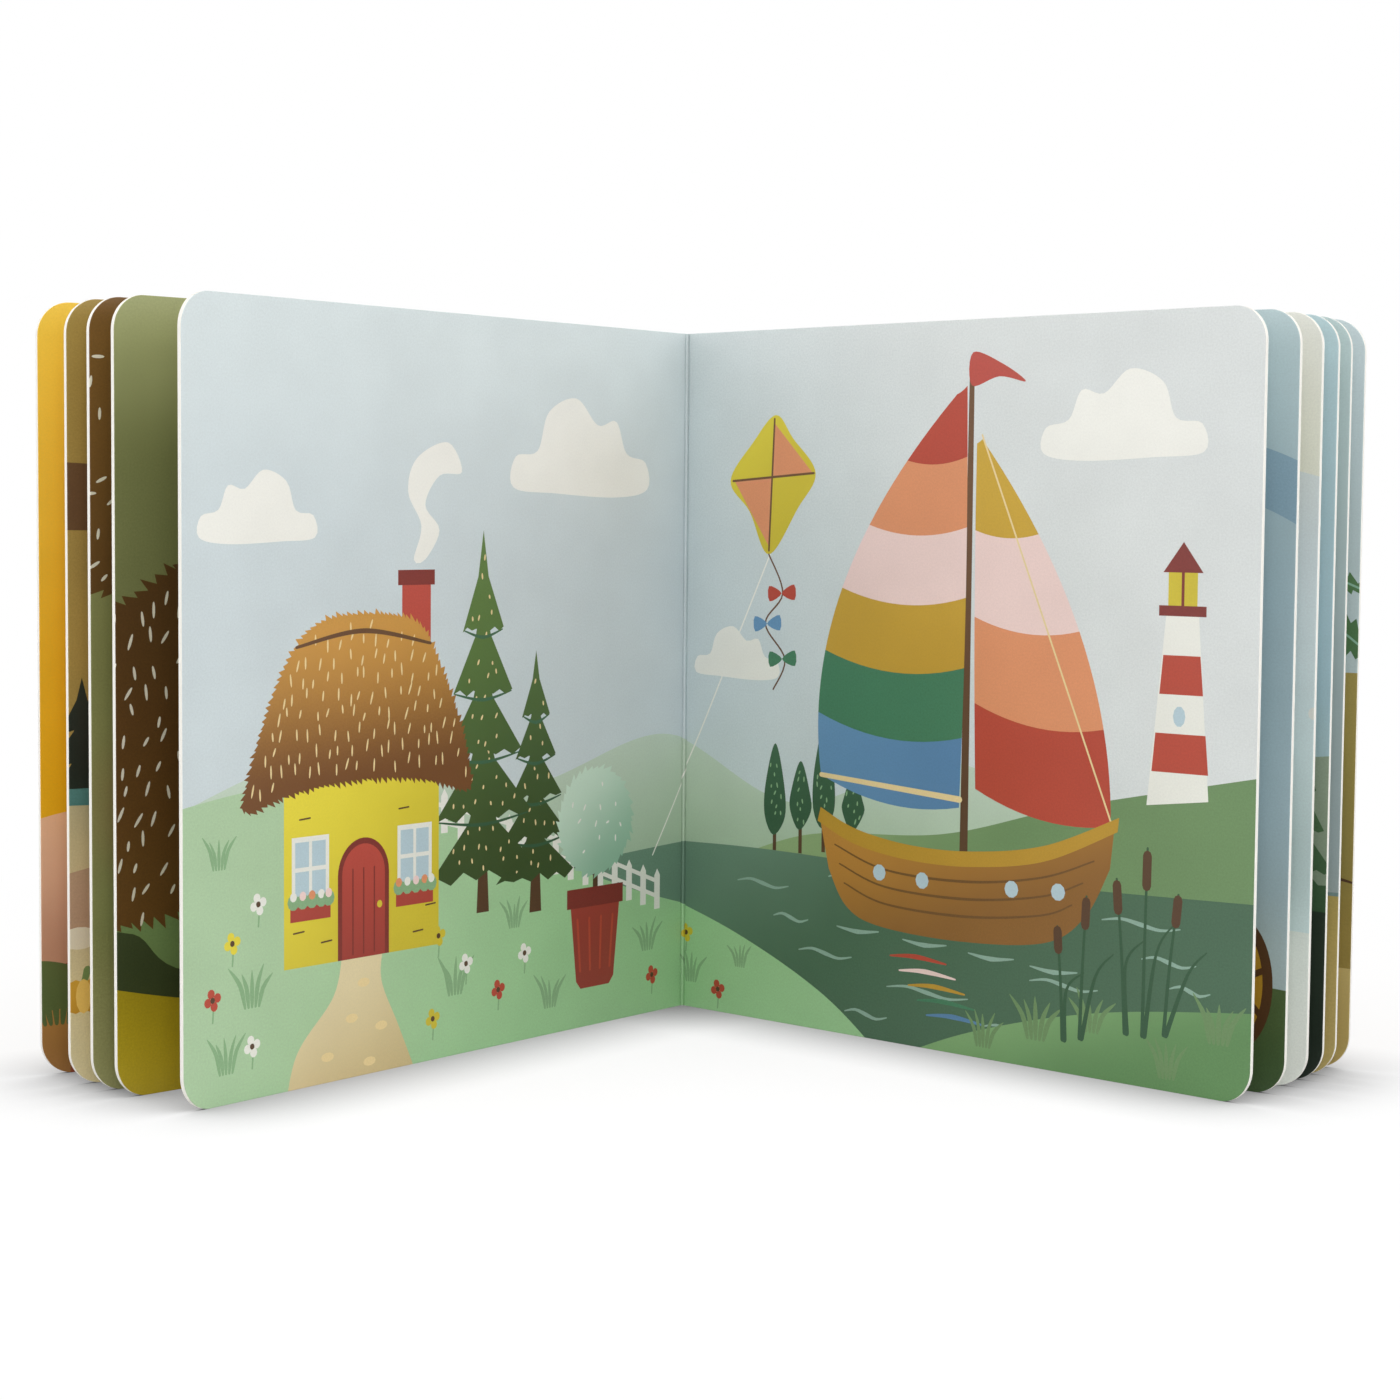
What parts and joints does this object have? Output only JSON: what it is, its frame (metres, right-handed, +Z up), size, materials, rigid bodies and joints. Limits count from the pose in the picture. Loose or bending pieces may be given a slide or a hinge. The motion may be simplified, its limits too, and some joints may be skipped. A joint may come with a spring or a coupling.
{
  "type": "board storybook",
  "caption": "Square board book standing open on its bottom edges, its stiff leaves fanned from their folds, with hinged covers and a bowed spine.",
  "frame": {"origin": "middle of the open book's footprint, on the surface that it stands on", "axes": "+Z up along the folds, the open spread faces -Y, +X to the reader's right"},
  "size_m": [0.3112, 0.1528, 0.18],
  "materials": {
    "printed_board": "satin laminated print on white board, bare white at the cut edges",
    "front_cover_print": "satin laminated print",
    "back_cover_print": "satin laminated print",
    "spine_print": "satin laminated print"
  },
  "bodies": {
    "root": {"pages": "printed_board", "spine": "spine_print"},
    "front_cover": {"front_cover": "front_cover_print"},
    "back_cover": {"back_cover": "back_cover_print"}
  },
  "joints": [
    {"name": "front_cover_hinge", "type": "hinge", "parent": "root", "child": "front_cover", "pos_m": [-0.0095, 0.07066, 0.09], "axis": [0, 0, -1], "range_deg": [-3.9, 126], "deforming": ["spine"]},
    {"name": "back_cover_hinge", "type": "hinge", "parent": "root", "child": "back_cover", "pos_m": [-0.00244, 0.07207, 0.09], "axis": [0, 0, 1], "range_deg": [-2.6, 118.9], "deforming": ["spine"]}
  ]
}
